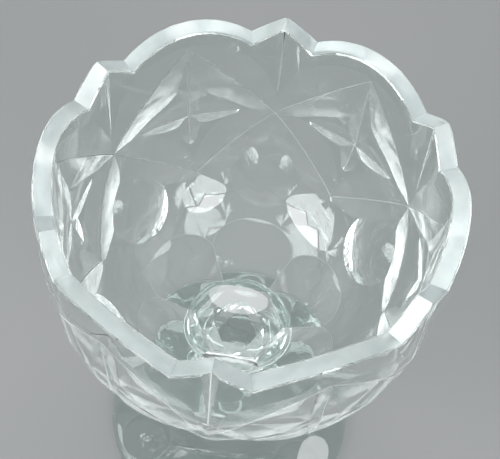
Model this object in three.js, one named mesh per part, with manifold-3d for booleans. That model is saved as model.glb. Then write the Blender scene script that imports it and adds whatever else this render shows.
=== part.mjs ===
import * as THREE from 'three';
import { mergeVertices } from 'three/addons/utils/BufferGeometryUtils.js';
import { ConvexGeometry } from 'three/addons/geometries/ConvexGeometry.js';
import Module from 'manifold-3d';

// A sweetmeat glass in cut crystal: a deep scalloped bowl on a short faceted stem and a round foot.
// Millimetres, +Z up. The origin is the middle of the foot's underside, and one gable of the rim
// points along +Y. Every pattern on the glass repeats with the same six gables.

const wasm = await Module();
wasm.setup();

const repeats = 6;
const facetsRound = 72; // flats round each turned surface, a multiple of twice the repeats

// Foot
const footRadius = 46;
const footEdge = 3.2; // thickness at the outer edge
const footEdgeRound = 0.6;
const footHeight = 13; // up to the joint with the lower collar
const footFlatRadius = 28; // the top stays nearly flat out here
const footFlatHeight = 5.2;
const footShoulderRadius = 17;
const footShoulderHeight = 5.5;
const footNeckRadius = 10.5;
const footPrintieRadius = 9.5; // six round hollows ground into the underside
const footPrintieDepth = 1.6;
const footPrintieMargin = 2.5; // flat ring left outside them

// Stem
const lowerCollarHeight = 3.5;
const lowerCollarRadius = 12;
const stemHeight = 35;
const stemFootRadius = 9.5;
const stemWaistRadius = 7;
const stemWaistShare = 0.35; // of the stem's height
const stemSwellShare = 0.7; // where the radius is halfway between waist and top
const stemTopRadius = 9;
const knopHeight = 18;
const knopRadius = 14.5;
const knopTopRadius = 9.5; // where the knop meets the collar above it
const upperCollarHeight = 4.5;
const upperCollarRadius = 18;
const collarEdge = 1.2; // width of the collars' turned edge

// Bowl, with depths measured down from the tips of the gables
const bowlRadius = 57.6;
const wallThickness = 5.6;
const rimInset = 0.6; // how much the wall draws in at the rim
const straightDepth = 30; // the wall stands upright down to here, and then curves in
const outerCupDepth = 60; // from there to the lowest point of the outer curve
const floorThickness = 11; // of solid glass in the middle of the cup
const bowlNeckRadius = 16; // across the corners of the six-sided neck
const neckDrop = 5; // height over which the cup runs into the neck

// Rim
const gableHalfAngle = 10; // degrees each side of a gable's tip
const valleyDepth = 7.7;
const lobeDrop = 1; // how far a lobe's crest lies below the tips
const rimSlope = 0.8; // how much lower the rim's top face is on the inside
const rimBevel = 0.4; // along both edges of that face
const rimBand = 2.5; // plain wall between the valleys and the first turned edge below them

// Cuts on the bowl
const mitreDepth = 1.8; // of a long mitre's crisp bottom line halfway along
const mitreRun = 8; // how far each side of a long mitre runs out for its rise
const mitreEndDepth = 0.3; // where mitres meet and at the points of the stars
const mitreOverrun = 1.5; // how far a cutter carries on past its end points
const mitreReach = 2.2; // how far a cutter stands out from the bottom line
const mitreSteps = 6; // straight steps along a mitre
const starDepth = 0.95; // of a star's four arms
const starPeak = 0.4; // share of an arm's length at which it is deepest
const starRun = 5;
const tipDepth = 0.6; // of the upright mitre where it runs out over a gable's tip
const tipRun = 4;
const tipFoot = 31;
const diamondTop = 10.5;
const diamondSide = 41;
const diamondFoot = 63;
const starTop = 16;
const starFoot = 52;
const starSpread = 17; // degrees from a star's middle to its left and right points
const printieRadius = 12.5;
const printieLevel = 64;
const printieDepth = 2.9;
const fluteReach = 36; // distance from the axis at which the flutes' round tops end
const fluteWaistReach = 24; // a point on the flutes' curve, between the neck and the tops
const fluteWaistRise = 7.5;
const cutterMargin = 1; // how far a cutter stands past the face that it trims

// Levels of the joints
const footTop = footHeight;
const stemBase = footTop + lowerCollarHeight;
const stemTop = stemBase + stemHeight;
const knopTop = stemTop + knopHeight;
const bowlBase = knopTop + upperCollarHeight;
const innerCupDepth = outerCupDepth - floorThickness;
const innerRadius = bowlRadius - wallThickness;
const rimLevel = bowlBase + straightDepth + outerCupDepth;
const cupLevel = rimLevel - straightDepth;
const repeatAngle = (2 * Math.PI) / repeats;

function degrees(angle) {
  return THREE.MathUtils.degToRad(angle);
}

function pointAt(radius, azimuth, z) {
  return new THREE.Vector3(radius * Math.cos(azimuth), radius * Math.sin(azimuth), z);
}

// Azimuth of a gable, the first one along +Y
function gableAzimuth(index) {
  return Math.PI / 2 + index * repeatAngle;
}

function lobeAzimuth(index) {
  return gableAzimuth(index) + repeatAngle / 2;
}

// A profile of [radius, height] pairs turned about Z, running up the outside of the glass
function turned(profile, sides = facetsRound, start = 0) {
  const points = profile.map(([radius, height]) => new THREE.Vector2(radius, height));
  const geometry = new THREE.LatheGeometry(points, sides, start);
  return geometry.rotateX(Math.PI / 2);
}

// A profile turned with one flat under each gable and a corner under each lobe
function sixSided(profile) {
  return turned(profile, repeats, repeatAngle / 2);
}

function closedMesh(geometry) {
  const bare = geometry.index ? geometry.toNonIndexed() : geometry.clone();
  bare.deleteAttribute('normal');
  bare.deleteAttribute('uv');
  const merged = mergeVertices(bare, 1e-4);
  const corners = merged.index.array;
  const kept = [];
  for (let i = 0; i < corners.length; i += 3) {
    const [a, b, c] = [corners[i], corners[i + 1], corners[i + 2]];
    if (a !== b && b !== c && c !== a) kept.push(a, b, c);
  }
  merged.setIndex(kept);
  return merged;
}

function toSolid(geometry) {
  const merged = closedMesh(geometry);
  const mesh = new wasm.Mesh({
    numProp: 3,
    vertProperties: new Float32Array(merged.attributes.position.array),
    triVerts: new Uint32Array(merged.index.array),
  });
  mesh.merge();
  return new wasm.Manifold(mesh);
}

function toGeometry(solid) {
  const mesh = solid.getMesh();
  const geometry = new THREE.BufferGeometry();
  geometry.setAttribute('position', new THREE.BufferAttribute(mesh.vertProperties, mesh.numProp));
  geometry.setIndex(new THREE.BufferAttribute(mesh.triVerts, 1));
  return geometry;
}

function cutAway(geometry, cutters) {
  let solid = toSolid(geometry);
  for (const cutter of cutters) solid = solid.subtract(toSolid(cutter));
  return toGeometry(solid);
}

// Radius of a quarter ellipse at a share of its depth
function ellipseRadius(radius, depth, below) {
  const share = Math.min(below / depth, 1);
  return radius * Math.sqrt(1 - share * share);
}

function outerRadius(z) {
  if (z < cupLevel) return ellipseRadius(bowlRadius, outerCupDepth, cupLevel - z);
  const rise = (z - cupLevel) / straightDepth;
  return bowlRadius - rimInset * rise ** 3;
}

// A point of the wall's outside at a depth below the gables' tips
function wallPoint(azimuth, depth) {
  const z = rimLevel - depth;
  return pointAt(outerRadius(z), azimuth, z);
}

// The direction that the outside faces at one of its points
function wallOutward(point) {
  const across = 1 / bowlRadius ** 2;
  const below = Math.min(point.z - cupLevel, 0) / outerCupDepth ** 2;
  return new THREE.Vector3(point.x * across, point.y * across, below).normalize();
}

// How far the rim lies below the gables' tips: a straight slope each side of a tip, then a round arch
function rimDrop(azimuth) {
  const turns = (azimuth - gableAzimuth(0)) / repeatAngle;
  const fromGable = Math.abs(turns - Math.round(turns)) * repeatAngle;
  const gableHalf = degrees(gableHalfAngle);
  if (fromGable <= gableHalf) return (valleyDepth * fromGable) / gableHalf;
  const archHalf = (repeatAngle / 2 - gableHalf) * bowlRadius;
  const archRise = valleyDepth - lobeDrop;
  const archRadius = (archHalf ** 2 + archRise ** 2) / (2 * archRise);
  const fromCrest = (repeatAngle / 2 - fromGable) * bowlRadius;
  return lobeDrop + archRadius - Math.sqrt(archRadius ** 2 - fromCrest ** 2);
}

// The rim is turned level, then each of its points is let down by the scallops' drop
function scallopRim(geometry) {
  const position = geometry.attributes.position;
  for (let i = 0; i < position.count; i += 1) {
    if (position.getZ(i) < rimLevel - rimBand) continue;
    const azimuth = Math.atan2(position.getY(i), position.getX(i));
    const z = position.getZ(i) - rimDrop(azimuth);
    const wasRadius = Math.hypot(position.getX(i), position.getY(i));
    const radius = Math.min(wasRadius, outerRadius(z));
    const moved = pointAt(radius, azimuth, z);
    position.setXYZ(i, moved.x, moved.y, moved.z);
  }
  return geometry;
}

function cupBlank() {
  const profile = [[0, bowlBase]];
  const neckLevel = bowlBase + neckDrop;
  const outerSteps = 11;
  const innerSteps = 10;
  const steepest = Math.asin(Math.min((cupLevel - neckLevel) / outerCupDepth, 1));
  profile.push([bowlNeckRadius + cutterMargin, bowlBase]);
  for (let i = 0; i <= outerSteps; i += 1) {
    const angle = steepest * (1 - i / outerSteps);
    profile.push([bowlRadius * Math.cos(angle), cupLevel - outerCupDepth * Math.sin(angle)]);
  }
  const belowValleys = rimLevel - valleyDepth - rimBand;
  profile.push([outerRadius((cupLevel + belowValleys) / 2), (cupLevel + belowValleys) / 2]);
  profile.push([outerRadius(belowValleys), belowValleys]);
  profile.push([bowlRadius, rimLevel - rimBevel]);
  profile.push([bowlRadius - rimInset - rimBevel, rimLevel]);
  profile.push([innerRadius + rimBevel, rimLevel - rimSlope]);
  profile.push([innerRadius, rimLevel - rimSlope - rimBevel]);
  profile.push([innerRadius, belowValleys]);
  for (let i = 0; i <= innerSteps; i += 1) {
    const angle = (Math.PI / 2) * (i / innerSteps);
    const radius = i === innerSteps ? 0 : innerRadius * Math.cos(angle);
    profile.push([radius, cupLevel - innerCupDepth * Math.sin(angle)]);
  }
  return scallopRim(turned(profile));
}

// The wall's point over a share of the chord between two of its points, straight out from the chord
// in the direction that the wall faces over its middle
function overChord(from, to, share) {
  const near = 1e-6;
  const push = wallOutward(from.clone().lerp(to, 0.5));
  const point = from.clone().lerp(to, share);
  let gap = 1;
  while (Math.abs(gap) > near) {
    gap = outerRadius(point.z) - Math.hypot(point.x, point.y);
    point.addScaledVector(push, gap);
  }
  return point;
}

// Depth of a mitre's bottom line at a share of its length: shallow at both ends, deepest at the
// peak, and out of the glass halfway along the overrun
function archBite(deepest, peak) {
  const bend = Math.log(0.5) / Math.log(peak);
  return (share, past) => {
    const swell = share > 0 && share < 1 ? Math.sin(Math.PI * share ** bend) : 0;
    const lift = (past / mitreOverrun) * 2 * mitreEndDepth;
    return mitreEndDepth + (deepest - mitreEndDepth) * swell - lift;
  };
}

// A V-shaped wheel cut that follows the wall between two of its points. The sides run straight out
// to the wall, so the cut comes out as a leaf, widest where it is deepest.
function mitre(from, to, bite, run) {
  const half = mitreReach * run;
  const section = new THREE.Shape();
  section.moveTo(0, 0);
  section.lineTo(half, mitreReach);
  section.lineTo(0, 2 * mitreReach);
  section.lineTo(-half, mitreReach);
  section.closePath();
  const bar = { depth: 1, steps: mitreSteps, bevelEnabled: false };
  const geometry = new THREE.ExtrudeGeometry(section, bar);
  const length = from.distanceTo(to);
  const over = mitreOverrun / length;
  const ahead = 0.01; // share of the length over which its direction is taken
  const position = geometry.attributes.position;
  for (let i = 0; i < position.count; i += 1) {
    const share = position.getZ(i) * (1 + 2 * over) - over;
    const point = overChord(from, to, share);
    const outward = wallOutward(point);
    const along = overChord(from, to, share + ahead).sub(point);
    const across = outward.clone().cross(along).normalize();
    const past = Math.max(-share, share - 1, 0) * length;
    point.addScaledVector(across, position.getX(i));
    point.addScaledVector(outward, position.getY(i) - bite(share, past));
    position.setXYZ(i, point.x, point.y, point.z);
  }
  return geometry;
}

// A shallow round hollow, with its rim circle centred on a point and facing along a direction
function printie(centre, outward, radius, depth) {
  const sides = 28;
  const rings = 3;
  const over = 1.25; // the dish carries on past its circle, out of the glass
  const dish = (radius ** 2 + depth ** 2) / (2 * depth);
  const profile = [];
  for (let i = 0; i <= rings; i += 1) {
    const reach = (radius * over * i) / rings;
    profile.push([reach, dish - depth - Math.sqrt(dish ** 2 - reach ** 2)]);
  }
  profile.push([radius * over, depth * 4], [0, depth * 4]);
  const geometry = turned(profile, sides);
  const turn = new THREE.Quaternion().setFromUnitVectors(new THREE.Vector3(0, 0, 1), outward);
  geometry.applyQuaternion(turn);
  return geometry.translate(centre.x, centre.y, centre.z);
}

// A narrow upright mitre, open where it runs out over the gable's tip and fading out below
function tipCut(index) {
  const gable = gableAzimuth(index);
  const bite = (share) => tipDepth * (1 - share);
  return mitre(wallPoint(gable, 0), wallPoint(gable, tipFoot), bite, tipRun);
}

// The long mitres, which start from the side corner that two diamonds share, one to the top and
// one to the foot of the diamond on either hand
function diamondCuts(index) {
  const gable = gableAzimuth(index);
  const side = wallPoint(gable, diamondSide);
  const bite = archBite(mitreDepth, 0.5);
  const cuts = [];
  for (const lobe of [gable - repeatAngle / 2, gable + repeatAngle / 2]) {
    cuts.push(mitre(wallPoint(lobe, diamondTop), side, bite, mitreRun));
    cuts.push(mitre(side, wallPoint(lobe, diamondFoot), bite, mitreRun));
  }
  return cuts;
}

// The four-pointed star in the middle of each diamond, one short mitre to each point
function starCuts(index) {
  const lobe = lobeAzimuth(index);
  const middle = wallPoint(lobe, diamondSide);
  const bite = archBite(starDepth, starPeak);
  const points = [
    wallPoint(lobe, starTop),
    wallPoint(lobe, starFoot),
    wallPoint(lobe - degrees(starSpread), diamondSide),
    wallPoint(lobe + degrees(starSpread), diamondSide),
  ];
  return points.map((point) => mitre(middle, point, bite, starRun));
}

// The round hollow below each side corner, square to the cup's curve there
function bowlPrintie(index) {
  const surface = wallPoint(gableAzimuth(index), printieLevel);
  const outward = wallOutward(surface);
  const bulge = printieRadius ** 2 / (2 * bowlRadius);
  const centre = surface.addScaledVector(outward, -bulge);
  return printie(centre, outward, printieRadius, printieDepth - bulge);
}

// Height at a reach on the parabola through three [reach, height] points
function parabola(points, reach) {
  let height = 0;
  for (const point of points) {
    let share = 1;
    for (const other of points) {
      if (other !== point) share *= (reach - other[0]) / (point[0] - other[0]);
    }
    height += share * point[1];
  }
  return height;
}

// Six flutes under the cup: a six-sided funnel keeps the glass inside it, and its curved sides end
// in round arches where they run out into the cup's curve
function fluteFunnel() {
  const rows = 9;
  const toCorner = 1 / Math.cos(repeatAngle / 2);
  const neckReach = bowlNeckRadius / toCorner;
  const archLevel = cupLevel - outerCupDepth * Math.sqrt(1 - (fluteReach / bowlRadius) ** 2);
  const curve = [
    [neckReach, bowlBase + cutterMargin],
    [fluteWaistReach, bowlBase + fluteWaistRise],
    [fluteReach, archLevel],
  ];
  const farReach = bowlRadius * 1.3; // clear of the cup even on the flats
  const profile = [[0, bowlBase - cutterMargin], [bowlNeckRadius, bowlBase - cutterMargin]];
  for (let i = 0; i <= rows; i += 1) {
    const reach = neckReach + ((farReach - neckReach) * i) / rows;
    profile.push([reach * toCorner, parabola(curve, reach)]);
  }
  profile.push([farReach * toCorner, rimLevel + cutterMargin], [0, rimLevel + cutterMargin]);
  return sixSided(profile);
}

function bowlShape() {
  let solid = toSolid(cupBlank()).intersect(toSolid(fluteFunnel()));
  for (let i = 0; i < repeats; i += 1) {
    for (const cutter of [tipCut(i), ...diamondCuts(i), ...starCuts(i), bowlPrintie(i)]) {
      solid = solid.subtract(toSolid(cutter));
    }
  }
  return toGeometry(solid);
}

// A thin disc of glass that joins two gathers, with a turned edge
function collar(base, height, radius) {
  const shoulder = radius - height / 2;
  return turned([
    [0, base],
    [shoulder, base],
    [radius, base + (height - collarEdge) / 2],
    [radius, base + (height + collarEdge) / 2],
    [shoulder, base + height],
    [0, base + height],
  ]);
}

// A ball cut with rows of facets, standing corner to corner on the stem
function facetedKnop() {
  const points = [];
  // share of the height, radius over the corners, and turn as a share of one repeat
  const rows = [
    [0, stemTopRadius, 0.5],
    [0.2, (stemTopRadius + 2 * knopRadius) / 3, 0],
    [0.5, knopRadius, 0.5],
    [0.8, (knopTopRadius + 2 * knopRadius) / 3, 0],
    [1, knopTopRadius, 0.5],
  ];
  for (const [rise, radius, shift] of rows) {
    for (let i = 0; i < repeats; i += 1) {
      const azimuth = gableAzimuth(i + shift);
      points.push(pointAt(radius, azimuth, stemTop + knopHeight * rise));
    }
  }
  return new ConvexGeometry(points);
}

// A six-sided baluster, waisted below the middle
function stemShape() {
  const rows = 10;
  const curve = new THREE.SplineCurve([
    new THREE.Vector2(stemFootRadius, stemBase),
    new THREE.Vector2(stemWaistRadius, stemBase + stemHeight * stemWaistShare),
    new THREE.Vector2((stemWaistRadius + stemTopRadius) / 2, stemBase + stemHeight * stemSwellShare),
    new THREE.Vector2(stemTopRadius, stemTop),
  ]);
  const profile = [[0, stemBase]];
  for (const point of curve.getPoints(rows)) profile.push([point.x, point.y]);
  profile.push([0, stemTop]);
  return sixSided(profile);
}

function footShape() {
  const rows = 7;
  const curve = new THREE.CubicBezierCurve(
    new THREE.Vector2(footRadius - footEdgeRound, footEdge),
    new THREE.Vector2(footFlatRadius, footFlatHeight),
    new THREE.Vector2(footShoulderRadius, footShoulderHeight),
    new THREE.Vector2(footNeckRadius, footHeight),
  );
  const profile = [
    [0, 0],
    [footRadius - footEdgeRound, 0],
    [footRadius, footEdgeRound],
    [footRadius, footEdge - footEdgeRound],
  ];
  for (const point of curve.getPoints(rows)) profile.push([point.x, point.y]);
  profile.push([0, footHeight]);
  const cutters = [];
  const reach = footRadius - footPrintieMargin - footPrintieRadius;
  const down = new THREE.Vector3(0, 0, -1);
  for (let i = 0; i < repeats; i += 1) {
    const centre = pointAt(reach, gableAzimuth(i), 0);
    cutters.push(printie(centre, down, footPrintieRadius, footPrintieDepth));
  }
  return cutAway(turned(profile), cutters);
}

const crystal = { roughness: 0.04, metalness: 0 };
const pieces = [
  ['foot', footShape(), 0xdde6e4],
  ['lower_collar', collar(footTop, lowerCollarHeight, lowerCollarRadius), 0xd3dfdc],
  ['stem', stemShape(), 0xdbe5e3],
  ['knop', facetedKnop(), 0xcfdcd9],
  ['upper_collar', collar(knopTop, upperCollarHeight, upperCollarRadius), 0xd3dfdc],
  ['bowl', bowlShape(), 0xe2eae8],
];

const sweetmeatGlass = new THREE.Group();
for (const [name, geometry, color] of pieces) {
  const mesh = new THREE.Mesh(geometry, new THREE.MeshStandardMaterial({ color, ...crystal }));
  mesh.name = name;
  sweetmeatGlass.add(mesh);
}

export default sweetmeatGlass;
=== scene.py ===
import math

import bmesh
import bpy
import numpy as np
from mathutils import Matrix, Vector


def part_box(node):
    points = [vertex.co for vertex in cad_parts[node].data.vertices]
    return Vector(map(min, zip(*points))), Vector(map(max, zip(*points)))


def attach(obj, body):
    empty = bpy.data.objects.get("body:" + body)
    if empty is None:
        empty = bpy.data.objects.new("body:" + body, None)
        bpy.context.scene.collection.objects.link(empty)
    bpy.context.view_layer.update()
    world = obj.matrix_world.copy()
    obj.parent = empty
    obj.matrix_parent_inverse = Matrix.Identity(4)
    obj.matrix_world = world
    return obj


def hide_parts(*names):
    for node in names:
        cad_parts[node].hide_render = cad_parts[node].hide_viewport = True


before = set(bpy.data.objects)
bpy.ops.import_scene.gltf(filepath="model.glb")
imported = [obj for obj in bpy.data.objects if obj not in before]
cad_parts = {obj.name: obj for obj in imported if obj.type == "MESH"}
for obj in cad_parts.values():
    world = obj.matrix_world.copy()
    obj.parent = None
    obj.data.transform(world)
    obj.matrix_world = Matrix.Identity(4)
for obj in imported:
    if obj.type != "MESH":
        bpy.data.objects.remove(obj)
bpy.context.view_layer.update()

# A sweetmeat glass in cut crystal, in metres, standing on the origin with one gable towards +Y.


def topOf(node):
    # the height at which a solid of the part ends, to a hundredth of a millimetre
    return round(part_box(node)[1].z, 5)


# where one piece ends and the next begins
levels = {"footTop": topOf("foot"), "stemBase": topOf("lower_collar"), "stemTop": topOf("stem"),
          "knopTop": topOf("knop"), "bowlBase": topOf("upper_collar")}
repeats = 6
repeatAngle = 2 * math.pi / repeats
gable = math.pi / 2  # azimuth of the first gable

tolerance = {
    "wall": 2.5e-5,  # metres between a point and the wall that it lies on
    "ellipse": 1e-3,  # the same where the cup is steep, as a share of its ellipse
    "facing": 0.995,  # cosine between a normal and the direction that it faces
}


class Wire:
    # one socket of a node tree, so that sums on it read as sums

    def __init__(self, tree, socket):
        self.tree = tree
        self.socket = socket

    def sum(self, operation, first, second):
        return board(self.tree, "ShaderNodeMath", {"operation": operation}, {0: first, 1: second})

    def __add__(self, other):
        return self.sum("ADD", self, other)

    def __radd__(self, other):
        return self.sum("ADD", other, self)

    def __sub__(self, other):
        return self.sum("SUBTRACT", self, other)

    def __rsub__(self, other):
        return self.sum("SUBTRACT", other, self)

    def __mul__(self, other):
        return self.sum("MULTIPLY", self, other)

    def __rmul__(self, other):
        return self.sum("MULTIPLY", other, self)

    def __pow__(self, other):
        return self.sum("POWER", self, other)

    def mix(self, low, high):
        # low where this is 0 and high where it is 1, on colours
        return board(self.tree, "ShaderNodeMix", {"data_type": "RGBA"}, {0: self, 6: low, 7: high}, 2)

    def choose(self, first, second):
        # the first shader where this is 0 and the second where it is 1
        return board(self.tree, "ShaderNodeMixShader", {}, {0: self, 1: first, 2: second})


def board(tree, kind, settings=None, inputs=None, output=0):
    # a node with its settings and the values or links of its sockets, returned as one of its outputs
    node = tree.nodes.new(kind)
    for name, value in (settings or {}).items():
        setattr(node, name, value)
    for key, value in (inputs or {}).items():
        socket = node.inputs[key]
        if isinstance(value, Wire):
            tree.links.new(value.socket, socket)
        else:
            socket.default_value = value
    return Wire(tree, node.outputs[output]) if len(node.outputs) else node


def noise(tree, place, scale, detail):
    return board(tree, "ShaderNodeTexNoise", {}, {"Vector": place, "Scale": scale, "Detail": detail})


crystalLook = {
    "tint": (0.89, 0.94, 0.925, 1),
    "deepTint": (0.82, 0.895, 0.87, 1),
    "cloudScale": 26.0,
    "ior": 1.55,
    "roughness": 0.0,
    "polishMarks": 0.02,
    "marksScale": 420.0,
    "marksShare": 0.04,
    "wave": 0.0015,
    "waveScale": 70.0,
    "waveHeight": 0.001,
    "shade": (0.86, 0.90, 0.89, 1),
}
# the sides of the mitres were polished less than the rest
flankLook = {**crystalLook, "tint": (0.95, 0.98, 0.975, 1), "deepTint": (0.90, 0.95, 0.94, 1),
             "roughness": 0.12, "polishMarks": 0.3, "wave": 0.004}


def crystalMaterial(name, look):
    # clear lead crystal with a grey-green cast that clouds a little, and faint marks left by the polisher
    material = bpy.data.materials.new(name)
    material.use_nodes = True
    tree = material.node_tree
    tree.nodes.clear()
    place = board(tree, "ShaderNodeTexCoord", output=3)
    wave = noise(tree, place, look["waveScale"], 1.0)
    marks = noise(tree, place, look["marksScale"], 3.0)
    cloud = noise(tree, place, look["cloudScale"], 2.0)
    bump = board(tree, "ShaderNodeBump", {}, {"Height": wave + look["marksShare"] * marks,
                                              "Strength": look["wave"], "Distance": look["waveHeight"]})
    glass = board(tree, "ShaderNodeBsdfPrincipled", {}, {
        "Base Color": cloud.mix(look["tint"], look["deepTint"]),
        "Roughness": look["roughness"] + look["polishMarks"] * (marks ** 3),
        "Transmission Weight": 1.0,
        "IOR": look["ior"],
        "Normal": bump,
    })
    # lamps shine straight through, a little dimmed at each face
    toLamp = board(tree, "ShaderNodeLightPath", output="Is Shadow Ray")
    clear = board(tree, "ShaderNodeBsdfTransparent", {}, {"Color": look["shade"]})
    board(tree, "ShaderNodeOutputMaterial", {}, {"Surface": toLamp.choose(glass, clear)})
    return material


def seamMaterial():
    # where two gathers were fused hot there is no surface left, so light goes straight through
    material = bpy.data.materials.new("fused_seam")
    material.use_nodes = True
    tree = material.node_tree
    tree.nodes.clear()
    clear = board(tree, "ShaderNodeBsdfTransparent")
    board(tree, "ShaderNodeOutputMaterial", {}, {"Surface": clear})
    return material


satinLook = {
    "pale": (0.78, 0.85, 0.84, 1),
    "grey": (0.50, 0.59, 0.60, 1),
    "cloudScale": 130.0,
    "roughness": 0.2,
    "roughnessSpread": 0.15,
    "clearness": 0.6,
    "grain": 0.006,
    "grainScale": 1500.0,
    "grainHeight": 0.0003,
}
# what the edge of the wheel left is matt and white
lineLook = {**satinLook, "pale": (0.96, 0.98, 0.98, 1), "grey": (0.90, 0.94, 0.94, 1), "cloudScale": 260.0,
            "roughness": 0.5, "clearness": 0.0, "grain": 0.08}


def groundMaterial(name, look):
    # ground but hardly polished glass
    material = bpy.data.materials.new(name)
    material.use_nodes = True
    tree = material.node_tree
    tree.nodes.clear()
    place = board(tree, "ShaderNodeTexCoord", output=3)
    cloud = noise(tree, place, look["cloudScale"], 3.0)
    grain = noise(tree, place, look["grainScale"], 2.0)
    bump = board(tree, "ShaderNodeBump", {}, {"Height": grain, "Strength": look["grain"],
                                              "Distance": look["grainHeight"]})
    glass = board(tree, "ShaderNodeBsdfPrincipled", {}, {
        "Base Color": cloud.mix(look["grey"], look["pale"]),
        "Roughness": look["roughness"] + look["roughnessSpread"] * (grain - 0.5),
        "Transmission Weight": look["clearness"],
        "IOR": crystalLook["ior"],
        "Normal": bump,
    })
    board(tree, "ShaderNodeOutputMaterial", {}, {"Surface": glass})
    return material


crystal = crystalMaterial("crystal", crystalLook)
finishes = {
    "polished": crystal,
    "fused": seamMaterial(),
    "satin": groundMaterial("satin_glass", satinLook),
    "line": groundMaterial("wheel_line", lineLook),
    "flank": crystalMaterial("soft_cut", flankLook),
    "cut": crystal,  # on a fresh cut until its edges are drawn
}
# a mesh names its faces' finishes by their places in this list
finish = {name: place for place, name in enumerate(finishes)}
print("the finishes are mixed")


def ringColumns(slopeAngle, perSlope=7, perArch=12):
    # azimuths round the glass with a column on every tip, valley and crest, so that no corner is blunted
    half = repeatAngle / 2
    slope = np.linspace(0, slopeAngle, perSlope, endpoint=False)
    arch = np.linspace(slopeAngle, half, perArch, endpoint=False)
    oneSide = np.concatenate([slope, arch])
    other = repeatAngle - np.concatenate([arch[1:], [half], slope[1:], [slopeAngle]])
    oneRepeat = np.unique(np.round(np.concatenate([oneSide, other]), 9))
    return np.concatenate([gable + k * repeatAngle + oneRepeat for k in range(repeats)])


def evenColumns(count):
    return gable + np.arange(count) * 2 * math.pi / count


def turnedPoints(radius, height, azimuth):
    # radius and height may be one value a row, or one a row and column: x = r cos a, y = r sin a
    radius = np.broadcast_to(radius if np.ndim(radius) == 2 else np.reshape(radius, (-1, 1)),
                             (len(radius), len(azimuth)))
    height = np.broadcast_to(height if np.ndim(height) == 2 else np.reshape(height, (-1, 1)), radius.shape)
    return np.stack([radius * np.cos(azimuth), radius * np.sin(azimuth), height], axis=-1)


def closedForm(name, rows, bottom, top, satinRows=(), joined=()):
    # rows of points joined by quads round and round, with a fan to one point at each end, which is a
    # fused seam where joined names that end
    rowCount, columnCount = rows.shape[:2]
    here = np.arange(rowCount * columnCount).reshape(rowCount, columnCount)
    right = np.roll(here, -1, axis=1)
    quads = np.stack([here[:-1], right[:-1], right[1:], here[1:]], axis=-1).reshape(-1, 4)
    bottomIndex, topIndex = rowCount * columnCount, rowCount * columnCount + 1
    lowFan = np.stack([right[0], here[0], np.full(columnCount, bottomIndex)], axis=-1)
    highFan = np.stack([here[-1], right[-1], np.full(columnCount, topIndex)], axis=-1)
    points = np.concatenate([rows.reshape(-1, 3), [bottom, top]])
    mesh = bpy.data.meshes.new(name)
    mesh.from_pydata(points.tolist(), [], quads.tolist() + lowFan.tolist() + highFan.tolist())
    faceFinish = np.full(len(mesh.polygons), finish["polished"], dtype=np.int32)
    for row in satinRows:
        faceFinish[row * columnCount:(row + 1) * columnCount] = finish["satin"]
    if "low" in joined:
        faceFinish[len(quads):len(quads) + columnCount] = finish["fused"]
    if "high" in joined:
        faceFinish[len(quads) + columnCount:] = finish["fused"]
    return dressed(mesh, faceFinish)


def dressed(mesh, faceFinish):
    # every mesh of the glass carries the same materials, so that a cut hands its own on
    for material in finishes.values():
        mesh.materials.append(material)
    mesh.polygons.foreach_set("material_index", faceFinish)
    mesh.update()
    return mesh


def placed(name, mesh):
    piece = bpy.data.objects.new(name, mesh)
    bpy.context.scene.collection.objects.link(piece)
    return piece


def marked(mesh):
    # the faces that this cutter leaves are known by it until their edges are drawn
    mesh.polygons.foreach_set("material_index", np.full(len(mesh.polygons), finish["cut"], dtype=np.int32))
    return mesh


def carve(piece, cutter, operation="DIFFERENCE"):
    change = piece.modifiers.new("carve", "BOOLEAN")
    change.object = cutter
    change.operation = operation
    change.solver = "MANIFOLD"
    change.material_mode = "INDEX"
    bpy.context.view_layer.update()
    depsgraph = bpy.context.evaluated_depsgraph_get()
    fresh = bpy.data.meshes.new_from_object(piece.evaluated_get(depsgraph))
    piece.modifiers.clear()
    old = piece.data
    piece.data = fresh
    bpy.data.meshes.remove(old)
    bpy.data.objects.remove(cutter)
    return piece


def edgeLines(piece, width, above=-math.inf, crispFrom=math.radians(9)):
    # the crisp edges of fresh cuts, above a height, become narrow ground strips
    work = bmesh.new()
    work.from_mesh(piece.data)
    edges = [edge for edge in work.edges
             if any(face.material_index == finish["cut"] for face in edge.link_faces)
             and min(vertex.co.z for vertex in edge.verts) > above
             and edge.calc_face_angle(0) > crispFrom]
    bmesh.ops.bevel(work, geom=edges, offset=width, offset_type="WIDTH", segments=1, profile=0.5,
                    affect="EDGES", clamp_overlap=True, material=finish["line"])
    for face in work.faces:
        if face.material_index == finish["cut"]:
            face.material_index = finish["polished"]
    work.to_mesh(piece.data)
    work.free()
    piece.data.update()


def corners(mesh):
    # vertex positions, each polygon's first loop, and each loop's vertex and polygon
    points = np.empty(len(mesh.vertices) * 3)
    mesh.vertices.foreach_get("co", points)
    starts = np.empty(len(mesh.polygons), dtype=np.int64)
    mesh.polygons.foreach_get("loop_start", starts)
    sizes = np.empty(len(mesh.polygons), dtype=np.int64)
    mesh.polygons.foreach_get("loop_total", sizes)
    loopVertex = np.empty(len(mesh.loops), dtype=np.int64)
    mesh.loops.foreach_get("vertex_index", loopVertex)
    loopPolygon = np.repeat(np.arange(len(mesh.polygons)), sizes)
    return points.reshape(-1, 3), starts, loopVertex, loopPolygon


def softened(mesh, sharpFrom):
    # rounds the shading except over edges sharper than an angle in degrees, and returns each loop's normal
    mesh.polygons.foreach_set("use_smooth", np.ones(len(mesh.polygons), dtype=bool))
    mesh.set_sharp_from_angle(angle=math.radians(sharpFrom))
    normals = np.empty(len(mesh.loops) * 3)
    mesh.corner_normals.foreach_get("vector", normals)
    return normals.reshape(-1, 3)


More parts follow.
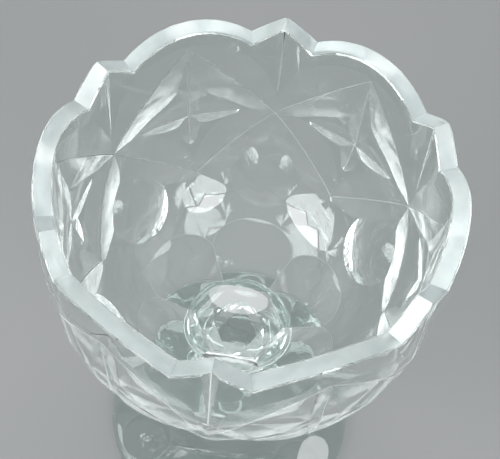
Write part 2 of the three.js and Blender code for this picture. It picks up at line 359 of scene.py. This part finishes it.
# a name that ends in Top, Side, Foot or Level is a depth under the rim
bowl = {
    "radius": 0.0576,
    "wall": 0.0056,
    "rimInset": 0.0006,
    "straightDepth": 0.030,
    "outerDepth": 0.060,
    "innerDepth": 0.049,
    "neckRadius": 0.016,
    "neckMargin": 0.001,
    "neckDrop": 0.005,
    "rimBand": 0.002,
    "slopeAngle": math.radians(10),
    "valleyDepth": 0.0077,
    "lobeDrop": 0.001,
    "rimSlope": 0.0008,
    "edgeBevel": 0.0004,
    "mitreFlatness": 8,
    "mitreLine": 0.00028,
    "mitreDepth": 0.0018,
    "mitreEndDepth": 0.0003,
    "mitreOverrun": 0.0015,
    "starFlatness": 5,
    "starDepth": 0.00095,
    "starPeak": 0.4,
    "tipFlatness": 4,
    "tipBite": 0.0006,
    "tipFoot": 0.031,
    "cutterReach": 0.003,
    "diamondTop": 0.0105,
    "diamondSide": 0.041,
    "diamondFoot": 0.063,
    "starTop": 0.016,
    "starFoot": 0.052,
    "starSpread": math.radians(17),
    "printieRadius": 0.0125,
    "printieLevel": 0.064,
    "printieDepth": 0.0029,
    "fluteReach": 0.036,
    "fluteWaist": 0.024,
    "fluteRise": 0.0075,
    "fluteLine": 0.00025,
    "printieLine": 0.00015,
    "funnelOver": 1.3,
    "cutterMargin": 0.001,
    "linesAbove": 0.0001,
    "sharpFrom": 7,
}
levels["cup"] = levels["bowlBase"] + bowl["outerDepth"]
levels["rim"] = levels["cup"] + bowl["straightDepth"]


def outerRadius(z):
    # upright wall that draws in a little at the rim, over a quarter ellipse
    below = np.clip((levels["cup"] - z) / bowl["outerDepth"], 0, 1)
    rise = np.clip((z - levels["cup"]) / (levels["rim"] - levels["cup"]), 0, None)
    return bowl["radius"] * np.sqrt(1 - below**2) - bowl["rimInset"] * rise**3


def innerRadius(z):
    below = np.clip((levels["cup"] - z) / bowl["innerDepth"], 0, 1)
    return (bowl["radius"] - bowl["wall"]) * np.sqrt(1 - below**2)


def rimDrop(azimuth):
    # a straight slope each side of a gable's tip, then a round arch that rises to the lobe's crest
    turns = (azimuth - gable) / repeatAngle
    fromGable = abs(turns - np.round(turns)) * repeatAngle
    slope = bowl["valleyDepth"] * fromGable / bowl["slopeAngle"]
    archHalf = (repeatAngle / 2 - bowl["slopeAngle"]) * bowl["radius"]
    archRise = bowl["valleyDepth"] - bowl["lobeDrop"]
    archRadius = (archHalf**2 + archRise**2) / (2 * archRise)
    fromCrest = np.minimum((repeatAngle / 2 - fromGable) * bowl["radius"], archHalf)
    arch = bowl["lobeDrop"] + archRadius - np.sqrt(archRadius**2 - fromCrest**2)
    return np.where(fromGable <= bowl["slopeAngle"], slope, arch)


def bowlBlank(cupSteps=46, wallSteps=10, hollowSteps=52):
    azimuth = ringColumns(bowl["slopeAngle"])
    radius, wall = bowl["radius"], bowl["wall"]
    steepest = math.asin((bowl["outerDepth"] - bowl["neckDrop"]) / bowl["outerDepth"])
    outAngle = np.linspace(steepest, 0, cupSteps)
    outR = radius * np.cos(outAngle)
    outZ = levels["cup"] - bowl["outerDepth"] * np.sin(outAngle)
    band = levels["rim"] - bowl["valleyDepth"] - bowl["rimBand"]
    wallZ = np.linspace(levels["cup"], band, wallSteps)[1:]
    inAngle = np.linspace(0, math.pi / 2, hollowSteps)[:-1]
    inR = (radius - wall) * np.cos(inAngle)
    inZ = levels["cup"] - bowl["innerDepth"] * np.sin(inAngle)
    drop = rimDrop(azimuth)
    top = levels["rim"] - drop
    bevel = bowl["edgeBevel"]
    flat = np.ones_like(azimuth)
    rows = [(radii * flat, heights * flat) for radii, heights in zip(
        np.concatenate([[bowl["neckRadius"] + bowl["neckMargin"]], outR, outerRadius(wallZ)]),
        np.concatenate([[levels["bowlBase"]], outZ, wallZ]))]
    rows.append((outerRadius(top - bevel), top - bevel))
    topFace = len(rows)
    rows.append((outerRadius(top - bevel) - bevel, top))
    rows.append(((radius - wall + bevel) * flat, top - bowl["rimSlope"]))
    rows.append(((radius - wall) * flat, top - bowl["rimSlope"] - bevel))
    rows.append(((radius - wall) * flat, band * flat))
    rows += [(radii * flat, heights * flat) for radii, heights in zip(inR, inZ)]
    points = turnedPoints(np.array([r for r, z in rows]), np.array([z for r, z in rows]), azimuth)
    low = (0, 0, levels["bowlBase"])
    high = (0, 0, levels["cup"] - bowl["innerDepth"])
    return closedForm("bowl", points, low, high, [topFace], ["low"])


def wallFrame(azimuth, z):
    # points of the outer wall and the directions that face out of it, on the cup the ellipse's own
    radius = outerRadius(z)
    below = np.minimum(z - levels["cup"], 0)
    across = radius / bowl["radius"]**2
    size = np.hypot(across, below / bowl["outerDepth"]**2)
    outward = turnedPoints(across / size, below / bowl["outerDepth"]**2 / size, np.zeros(1))[:, 0]
    cosine, sine = np.cos(azimuth), np.sin(azimuth)
    outward = np.stack([outward[:, 0] * cosine, outward[:, 0] * sine, outward[:, 2]], axis=-1)
    return np.stack([radius * cosine, radius * sine, z], axis=-1), outward


def cutPath(start, end, share, pushes=8):
    # the wall's points over a straight chord, pushed outwards in the wall's own direction at its middle
    azimuth, depth = np.array([start, end]).T
    ends, _ = wallFrame(azimuth, levels["rim"] - depth)
    _, push = wallFrame(azimuth.mean(keepdims=True), levels["rim"] - depth.mean(keepdims=True))
    points = ends[0] + share[:, None] * (ends[1] - ends[0])
    for k in range(pushes):
        points = points + (outerRadius(points[:, 2]) - np.hypot(points[:, 0], points[:, 1]))[:, None] * push
    return wallFrame(np.arctan2(points[:, 1], points[:, 0]), points[:, 2])


def mitre(start, end, bite, flatness, steps=24):
    # a V-shaped cutter that follows the wall between two places, each an azimuth and a depth: at every
    # step its narrow bottom line lies bite(share, past) under the wall and its sides open outwards
    ends, _ = cutPath(start, end, np.array([0.0, 1.0]))
    length = np.linalg.norm(ends[1] - ends[0])
    over = bowl["mitreOverrun"] / length
    share = np.linspace(-over, 1 + over, steps + 1)
    points, outward = cutPath(start, end, share)
    across = np.cross(outward, np.gradient(points, axis=0))
    across /= np.linalg.norm(across, axis=1)[:, None]
    past = np.maximum(np.maximum(-share, share - 1), 0) * length
    line = points - outward * bite(share, past)[:, None]
    half = bowl["mitreLine"] / 2
    reach = bowl["cutterReach"]
    wide = reach * flatness
    return np.stack([line - half * across, line + half * across, line + reach * outward + wide * across,
                     line + reach * outward - wide * across], axis=1)


def archBite(deepest, peak=0.5):
    # shallow at both ends, deepest at the peak, and out of the glass soon past the ends
    def bite(share, past):
        inside = np.clip(share, 0, 1)
        swell = np.sin(math.pi * inside ** (math.log(0.5) / math.log(peak)))
        shallow = bowl["mitreEndDepth"]
        return shallow + (deepest - shallow) * swell - past / bowl["mitreOverrun"] * 2 * shallow
    return bite


def tipBite(share, past):
    return bowl["tipBite"] * (1 - share)


def mitreMesh(cutters):
    # each cutter is a row of four-cornered rings, joined by quads and closed by one at each end
    ringCount = len(cutters[0])
    ring = np.arange(4)
    here = ring + 4 * np.arange(ringCount - 1)[:, None]
    beside = np.roll(ring, -1) + 4 * np.arange(ringCount - 1)[:, None]
    walls = np.stack([here, beside, beside + 4, here + 4], axis=-1).reshape(-1, 4)
    faces = np.concatenate([walls, [ring[::-1], ring + 4 * (ringCount - 1)]])
    allFaces = faces + 4 * ringCount * np.arange(len(cutters))[:, None, None]
    wallFinish = [finish["line"], finish["flank"], finish["flank"], finish["flank"]]
    ends = [finish["polished"]] * 2
    faceFinish = np.concatenate([np.tile(wallFinish, ringCount - 1), ends])
    mesh = bpy.data.meshes.new("mitres")
    mesh.from_pydata(np.concatenate(cutters).reshape(-1, 3).tolist(), [], allFaces.reshape(-1, 4).tolist())
    return dressed(mesh, np.tile(faceFinish, len(cutters)).astype(np.int32))


def dishForm(centre, outward, radius, depth, sides=72, rings=14, over=1.2, lid=3):
    # a shallow ball-shaped dish on its own axis, wider than its hollow, closed by a lid clear of the glass
    ball = (radius**2 + depth**2) / (2 * depth)
    reach = np.linspace(0, radius * over, rings + 1)[1:]
    low = ball - depth - np.sqrt(ball**2 - reach**2)
    rows = turnedPoints(np.append(reach, reach[-1]), np.append(low, depth * lid), evenColumns(sides))
    outward = np.array(outward) / np.linalg.norm(outward)
    upright = abs(outward[2]) > tolerance["facing"]
    side = np.array((1.0, 0, 0)) if upright else np.cross((0, 0, 1), outward)
    side /= np.linalg.norm(side)
    basis = np.stack([side, np.cross(outward, side), outward])
    return marked(closedForm("dish", rows @ basis + centre, np.array((0, 0, -depth)) @ basis + centre,
                             np.array((0, 0, depth * lid)) @ basis + centre))


def bowlDish(azimuth):
    # set in by as much as the wall itself bulges inside the hollow's edge
    z = levels["rim"] - bowl["printieLevel"]
    radius = float(outerRadius(z))
    down = (levels["cup"] - z) / bowl["outerDepth"]**2
    outward = np.array([math.cos(azimuth) * radius / bowl["radius"]**2,
                        math.sin(azimuth) * radius / bowl["radius"]**2, -down])
    outward /= np.linalg.norm(outward)
    bulge = bowl["printieRadius"]**2 / (2 * bowl["radius"])
    surface = np.array([radius * math.cos(azimuth), radius * math.sin(azimuth), z])
    return dishForm(surface - outward * bulge, outward, bowl["printieRadius"], bowl["printieDepth"] - bulge)


def sixSidedRows(reach, height):
    # reach is the distance to the flats, which face the gables; six columns stand on the corners
    azimuth = gable + repeatAngle * (np.arange(repeats) + 0.5)
    return turnedPoints(np.asarray(reach) / math.cos(repeatAngle / 2), height, azimuth)


def fluteFunnel(steps=60):
    # a six-sided funnel whose flats cut the flutes: a parabola through the neck, the waist and the round
    # tops, carried on past the cup
    cornerShare = math.cos(repeatAngle / 2)
    arch = levels["cup"] - bowl["outerDepth"] * math.sqrt(1 - (bowl["fluteReach"] / bowl["radius"])**2)
    base = levels["bowlBase"]
    keyReach = np.array([bowl["neckRadius"] * cornerShare, bowl["fluteWaist"], bowl["fluteReach"]])
    margin = bowl["cutterMargin"]
    keyHeight = np.array([base + margin, base + bowl["fluteRise"], arch])
    curve = np.polyfit(keyReach, keyHeight, 2)
    reach = np.linspace(keyReach[0], bowl["radius"] * bowl["funnelOver"], steps)
    height = np.polyval(curve, reach)
    reach = np.concatenate([[keyReach[0]], reach, [reach[-1]]])
    height = np.concatenate([[base - margin], height, [levels["rim"] + margin]])
    rows = sixSidedRows(reach, height)
    return marked(closedForm("funnel", rows, (0, 0, height[0]), (0, 0, height[-1])))


def cutBowl():
    piece = placed("bowl_glass", bowlBlank())
    carve(piece, placed("funnel", fluteFunnel()), "INTERSECT")
    linesAbove = levels["bowlBase"] + bowl["linesAbove"]
    edgeLines(piece, bowl["fluteLine"], linesAbove)
    gables = [gable + k * repeatAngle for k in range(repeats)]
    half = repeatAngle / 2
    top, side, bottom = bowl["diamondTop"], bowl["diamondSide"], bowl["diamondFoot"]
    spread = bowl["starSpread"]
    starLow, starHigh = bowl["starFoot"], bowl["starTop"]
    leaf = (archBite(bowl["mitreDepth"]), bowl["mitreFlatness"])
    ray = (archBite(bowl["starDepth"], bowl["starPeak"]), bowl["starFlatness"])
    # the cuts over the tips, the sides of the diamonds, and the arms of the stars
    families = [
        [mitre((a, 0), (a, bowl["tipFoot"]), tipBite, bowl["tipFlatness"]) for a in gables],
        [mitre((a - half, top), (a, side), *leaf) for a in gables],
        [mitre((a + half, top), (a, side), *leaf) for a in gables],
        [mitre((a, side), (a - half, bottom), *leaf) for a in gables],
        [mitre((a, side), (a + half, bottom), *leaf) for a in gables],
        [mitre((a + half, side), (a + half, starHigh), *ray) for a in gables],
        [mitre((a + half, side), (a + half, starLow), *ray) for a in gables],
        [mitre((a + half, side), (a + half - spread, side), *ray) for a in gables],
        [mitre((a + half, side), (a + half + spread, side), *ray) for a in gables],
    ]
    for family in families:
        carve(piece, placed("mitres", mitreMesh(family)))
    for a in gables:
        carve(piece, placed("dish", bowlDish(a)))
    edgeLines(piece, bowl["printieLine"], linesAbove)
    return piece


def bowlNormals(mesh):
    # walls take the normal of the curve they were turned from, and cuts keep their own
    normals = softened(mesh, bowl["sharpFrom"])
    points, starts, loopVertex, loopPolygon = corners(mesh)
    p = points[loopVertex]
    r = np.hypot(p[:, 0], p[:, 1])
    awayFromAxis = np.maximum(r, 1e-9)
    z = p[:, 2]
    faceNormal = np.empty(len(mesh.polygons) * 3)
    mesh.polygons.foreach_get("normal", faceNormal)
    faceNormal = faceNormal.reshape(-1, 3)[loopPolygon]
    outside = (outerRadius, bowl["outerDepth"], bowl["radius"], 1)
    inside = (innerRadius, bowl["innerDepth"], bowl["radius"] - bowl["wall"], -1)
    for surface, depth, width, sign in (outside, inside):
        onCup = z < levels["cup"]
        rise = np.clip((z - levels["cup"]) / (levels["rim"] - levels["cup"]), 0, 1)
        draw = 3 * bowl["rimInset"] * rise**2 / (levels["rim"] - levels["cup"]) if sign > 0 else 0 * rise
        radial = np.where(onCup, r / width**2, 1)
        upward = np.where(onCup, (z - levels["cup"]) / depth**2, draw)
        size = np.hypot(radial, upward) * sign
        wanted = np.stack([p[:, 0] / awayFromAxis * radial / size,
                           p[:, 1] / awayFromAxis * radial / size, upward / size], axis=-1)
        near = abs(r - surface(z)) < tolerance["wall"]
        steep = onCup & (abs(upward) > abs(radial))
        near |= steep & (abs((r / width)**2 + ((z - levels["cup"]) / depth)**2 - 1) < tolerance["ellipse"])
        agrees = (wanted * faceNormal).sum(axis=1) > tolerance["facing"]
        whole = np.logical_and.reduceat(near & agrees, starts)[loopPolygon]
        normals[whole] = wanted[whole]
    mesh.normals_split_custom_set(normals.tolist())


stem = {"footReach": 0.0095, "waistReach": 0.007, "topReach": 0.009, "waistShare": 0.35, "swellShare": 0.7}


def stemForm(steps=40):
    # a six-sided baluster: a cubic through foot, waist, swell and top, flat across each side
    base = levels["stemBase"]
    length = levels["stemTop"] - base
    key = np.array([0, stem["waistShare"], stem["swellShare"], 1]) * length
    swell = (stem["waistReach"] + stem["topReach"]) / 2
    curve = np.polyfit(key, [stem["footReach"], stem["waistReach"], swell, stem["topReach"]], 3)
    height = np.linspace(0, length, steps)
    rows = turnedPoints(np.polyval(curve, height), base + height,
                        gable + repeatAngle * (np.arange(repeats) + 0.5))
    return closedForm("stem", rows, (0, 0, base), (0, 0, base + length), joined=["low", "high"])


knop = {"topReach": 0.0095, "reach": 0.0145, "faceShare": 0.2}


def knopForm():
    # flats between five rings of corners, each turned half a side against the next, from the stem's
    # outline up to the collar
    low, top, full = stem["topReach"], knop["topReach"], knop["reach"]
    rise = np.array([0, knop["faceShare"], 0.5, 1 - knop["faceShare"], 1])
    reach = np.array([low, (low + 2 * full) / 3, full, (top + 2 * full) / 3, top])
    turn = np.array([0.5, 0, 0.5, 0, 0.5])
    azimuth = gable + repeatAngle * (turn[:, None] + np.arange(repeats))
    base = levels["stemTop"]
    height = np.broadcast_to((base + (levels["knopTop"] - base) * rise)[:, None], azimuth.shape)
    points = np.stack([reach[:, None] * np.cos(azimuth), reach[:, None] * np.sin(azimuth), height], axis=-1)
    mesh = bpy.data.meshes.new("knop")
    mesh.from_pydata(points.reshape(-1, 3).tolist(), [], [])
    form = bmesh.new()
    form.from_mesh(mesh)
    bmesh.ops.convex_hull(form, input=form.verts)
    bmesh.ops.dissolve_limit(form, angle_limit=math.radians(1), verts=form.verts, edges=form.edges)
    bmesh.ops.recalc_face_normals(form, faces=form.faces)
    form.to_mesh(mesh)
    form.free()
    level = np.array([abs(polygon.normal.z) > tolerance["facing"] for polygon in mesh.polygons])
    return dressed(mesh, np.where(level, finish["fused"], finish["polished"]).astype(np.int32))


upperCollar = {"radius": 0.018, "lowSeat": 0.0095, "highSeat": 0.016, "seatMargin": 1e-5}
lowerCollar = {"radius": 0.012, "lowSeat": 0.0125, "highSeat": 0.0095, "seatMargin": 1e-5}


def seatRow(reach, limit, azimuth, height):
    # a six-sided outline with its flats towards the gables, cut off where it would pass the limit
    toFlat = (azimuth - gable + repeatAngle / 2) % repeatAngle - repeatAngle / 2
    seat = np.minimum(reach * math.cos(repeatAngle / 2) / np.cos(toFlat), limit)
    level = np.full_like(azimuth, height)
    return np.stack([seat * np.cos(azimuth), seat * np.sin(azimuth), level], axis=-1)


def collarForm(values, base, top, edgeSteps=17, sides=96):
    # a thin turned disc with a round edge, and seats for the pieces above and below it
    half = (top - base) / 2
    turn = np.linspace(-math.pi / 2, math.pi / 2, edgeSteps)
    middle = values["radius"] - half
    azimuth = evenColumns(sides)
    edge = turnedPoints(middle + half * np.cos(turn), base + half + half * np.sin(turn), azimuth)
    limit = middle - values["seatMargin"]
    low = seatRow(values["lowSeat"], limit, azimuth, base)
    high = seatRow(values["highSeat"], limit, azimuth, top)
    rows = np.concatenate([low[None], edge, high[None]])
    return closedForm("collar", rows, (0, 0, base), (0, 0, top), joined=["low", "high"])


foot = {
    "radius": 0.046,
    "edge": 0.0032,
    "edgeRound": 0.0006,
    "flatRadius": 0.028,
    "flatHeight": 0.0052,
    "shoulderRadius": 0.017,
    "shoulderHeight": 0.0055,
    "neck": 0.0105,
    "printieRadius": 0.0095,
    "printieDepth": 0.0016,
    "printieMargin": 0.0025,
    "printieLine": 0.00015,
    "sharpFrom": 12,
}


def footForm(sides=192, domeSteps=60, edgeSteps=13):
    # a rounded edge, and over it a dome whose outline is one cubic curve up to the neck
    top, edge, edgeRound = levels["footTop"], foot["edge"], foot["edgeRound"]
    t = np.linspace(0, 1, domeSteps)
    keyR = np.array([foot["radius"] - edgeRound, foot["flatRadius"], foot["shoulderRadius"], foot["neck"]])
    keyZ = np.array([edge, foot["flatHeight"], foot["shoulderHeight"], top])
    weights = np.stack([(1 - t)**3, 3 * t * (1 - t)**2, 3 * t**2 * (1 - t), t**3])
    domeR, domeZ = keyR @ weights, keyZ @ weights
    turn = np.linspace(-math.pi / 2, math.pi / 2, edgeSteps)
    edgeR = foot["radius"] - edgeRound + edgeRound * np.cos(turn)
    edgeZ = np.where(turn < 0, edgeRound, edge - edgeRound) + edgeRound * np.sin(turn)
    rows = turnedPoints(np.append(edgeR, domeR[1:]), np.append(edgeZ, domeZ[1:]), evenColumns(sides))
    return closedForm("foot", rows, (0, 0, 0), (0, 0, top), joined=["high"])


def cutFoot():
    piece = placed("foot_glass", footForm())
    reach = foot["radius"] - foot["printieMargin"] - foot["printieRadius"]
    for k in range(repeats):
        a = gable + k * repeatAngle
        centre = np.array([reach * math.cos(a), reach * math.sin(a), 0])
        dish = dishForm(centre, (0, 0, -1), foot["printieRadius"], foot["printieDepth"])
        carve(piece, placed("dish", dish))
    edgeLines(piece, foot["printieLine"])
    return piece


def finished(piece, node):
    piece.data.materials.pop(index=finish["cut"])
    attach(piece, "root")
    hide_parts(node)
    print(node, "has", len(piece.data.polygons), "faces")


bowlPiece = cutBowl()
bowlNormals(bowlPiece.data)
finished(bowlPiece, "bowl")

plainSharpFrom = 20  # degrees, on stem, knop and collars
plainPieces = {
    "stem": stemForm(),
    "knop": knopForm(),
    "upper_collar": collarForm(upperCollar, levels["knopTop"], levels["bowlBase"]),
    "lower_collar": collarForm(lowerCollar, levels["footTop"], levels["stemBase"]),
}
for node, mesh in plainPieces.items():
    softened(mesh, plainSharpFrom)
    finished(placed(node + "_glass", mesh), node)

footPiece = cutFoot()
softened(footPiece.data, foot["sharpFrom"])
finished(footPiece, "foot")
print("the glass is built")

room = {
    "floor": (0.38, 0.39, 0.395, 1),
    "floorShade": (0.3724, 0.3822, 0.3871, 1),
    "floorRoughness": 0.7,
    "floorRadius": 4.0,
    "underFoot": 0.0004,
    "grainScale": 4.0,
    "fadeFrom": 0.3,
    "fadeTo": 2.2,
    "horizon": (0.42, 0.43, 0.435, 1),
    "sky": (0.95, 0.97, 0.98, 1),
    "skyTop": 0.35,
    "skyLight": 0.2,
}


def seenRays(tree):
    # 1 for what the camera sees, straight or in the glass, and 0 for light that falls on things
    path = tree.nodes.new("ShaderNodeLightPath")
    unseen = 1.0
    for ray in ("Is Camera Ray", "Is Glossy Ray", "Is Transmission Ray"):
        unseen = unseen * (1 - Wire(tree, path.outputs[ray]))
    return 1 - unseen


def ramp(tree, value, low, high):
    # rises softly from 0 at low to 1 at high
    return board(tree, "ShaderNodeMapRange", {"interpolation_type": "SMOOTHSTEP"},
                 {"Value": value, "From Min": low, "From Max": high})


def floorMaterial():
    # lit near the glass, and further off an even pale tone that runs into the horizon
    material = bpy.data.materials.new("floor")
    material.use_nodes = True
    tree = material.node_tree
    tree.nodes.clear()
    place = board(tree, "ShaderNodeTexCoord", output=3)
    grain = noise(tree, place, room["grainScale"], 2.0)
    distance = board(tree, "ShaderNodeVectorMath", {"operation": "LENGTH"}, {0: place}, "Value")
    far = ramp(tree, distance, room["fadeFrom"], room["fadeTo"])
    black = (0, 0, 0, 1)
    surface = board(tree, "ShaderNodeBsdfPrincipled", {}, {
        "Base Color": far.mix(grain.mix(room["floorShade"], room["floor"]), black),
        "Roughness": room["floorRoughness"],
        "Specular IOR Level": 0.0,
        "Emission Color": (far * seenRays(tree)).mix(black, room["horizon"]),
        "Emission Strength": 1.0,
    })
    board(tree, "ShaderNodeOutputMaterial", {}, {"Surface": surface})
    return material


def layFloor(sides=64):
    # a round floor a hair under the foot, so that the two don't share a plane
    mesh = bpy.data.meshes.new("floor")
    ring = turnedPoints([room["floorRadius"]], [-room["underFoot"]], evenColumns(sides))[0]
    mesh.from_pydata(ring.tolist(), [], [list(range(sides))])
    mesh.materials.append(floorMaterial())
    placed("floor", mesh)


layFloor()

world = bpy.data.worlds.new("room")
bpy.context.scene.world = world
world.use_nodes = True
worldTree = world.node_tree
worldTree.nodes.clear()
direction = board(worldTree, "ShaderNodeTexCoord")
upward = board(worldTree, "ShaderNodeSeparateXYZ", {}, {0: direction}, "Z")
background = board(worldTree, "ShaderNodeBackground", {}, {
    "Color": ramp(worldTree, upward, 0.0, room["skyTop"]).mix(room["horizon"], room["sky"]),
    "Strength": room["skyLight"] + (1 - room["skyLight"]) * seenRays(worldTree),
})
board(worldTree, "ShaderNodeOutputWorld", {}, {"Surface": background})


lamps = {
    "ceilingLight": {"place": (0.0, 0.66, 2.1), "width": 1.3, "depth": 0.7, "power": 13},
    "windowLight": {"place": (-1.26, -1.1, 1.2), "width": 1.6, "depth": 0.85, "power": 30},
    "sideLight": {"place": (1.1, -1.2, 1.1), "width": 1.0, "depth": 0.8, "power": 16},
}
lampTarget = np.array((0, 0, 0.1))


def softLamp(name, values):
    lamp = bpy.data.lights.new(name, "AREA")
    lamp.shape = "ELLIPSE"
    lamp.size = values["width"]
    lamp.size_y = values["depth"]
    lamp.energy = values["power"]
    lampObject = placed(name, lamp)
    lampObject.location = values["place"]
    toTarget = Vector(lampTarget - np.array(values["place"]))
    lampObject.rotation_euler = toTarget.to_track_quat("-Z", "Y").to_euler()


for name, values in lamps.items():
    softLamp(name, values)
print("the room is lit")


# fitted to the photograph: the aim lies beside the axis and below the rim
view = {"focalPixels": 1000.0, "photoWidth": 500, "sensor": 36.0, "pitch": math.radians(58),
        "roll": math.radians(6), "orbit": math.radians(4.9), "distance": 0.2816, "aimSide": 0.00055,
        "aimDepth": 0.02695}


def photographCamera():
    turn = np.array([[math.cos(view["orbit"]), -math.sin(view["orbit"]), 0],
                     [math.sin(view["orbit"]), math.cos(view["orbit"]), 0], [0, 0, 1]])
    forward = np.array([0, math.cos(view["pitch"]), -math.sin(view["pitch"])])
    right = np.array([1.0, 0, 0])
    up = np.cross(right, forward)
    c, s = math.cos(view["roll"]), math.sin(view["roll"])
    imageRight, imageUp = c * right + s * up, c * up - s * right
    aim = np.array([view["aimSide"], 0, levels["rim"] - view["aimDepth"]])
    place = turn @ (aim - forward * view["distance"])
    axes = np.stack([turn @ imageRight, turn @ imageUp, turn @ -forward], axis=1)
    camera = bpy.data.cameras.new("camera")
    camera.sensor_width = view["sensor"]
    camera.lens = view["focalPixels"] * view["sensor"] / view["photoWidth"]
    camera.clip_start = 0.01
    cameraObject = placed("camera", camera)
    matrix = Matrix(axes.tolist()).to_4x4()
    matrix.translation = place.tolist()
    cameraObject.matrix_world = matrix
    bpy.context.scene.camera = cameraObject


photographCamera()

# enough bounces to see through every wall of the glass
bounces = {"max_bounces": 32, "transmission_bounces": 32, "transparent_max_bounces": 32,
           "glossy_bounces": 16, "diffuse_bounces": 4}
scene = bpy.context.scene
scene.view_settings.view_transform = "Standard"
for name, count in bounces.items():
    setattr(scene.cycles, name, count)
scene.cycles.use_denoising = True
scene.cycles.caustics_refractive = False
scene.cycles.caustics_reflective = False
scene.cycles.blur_glossy = 0.5
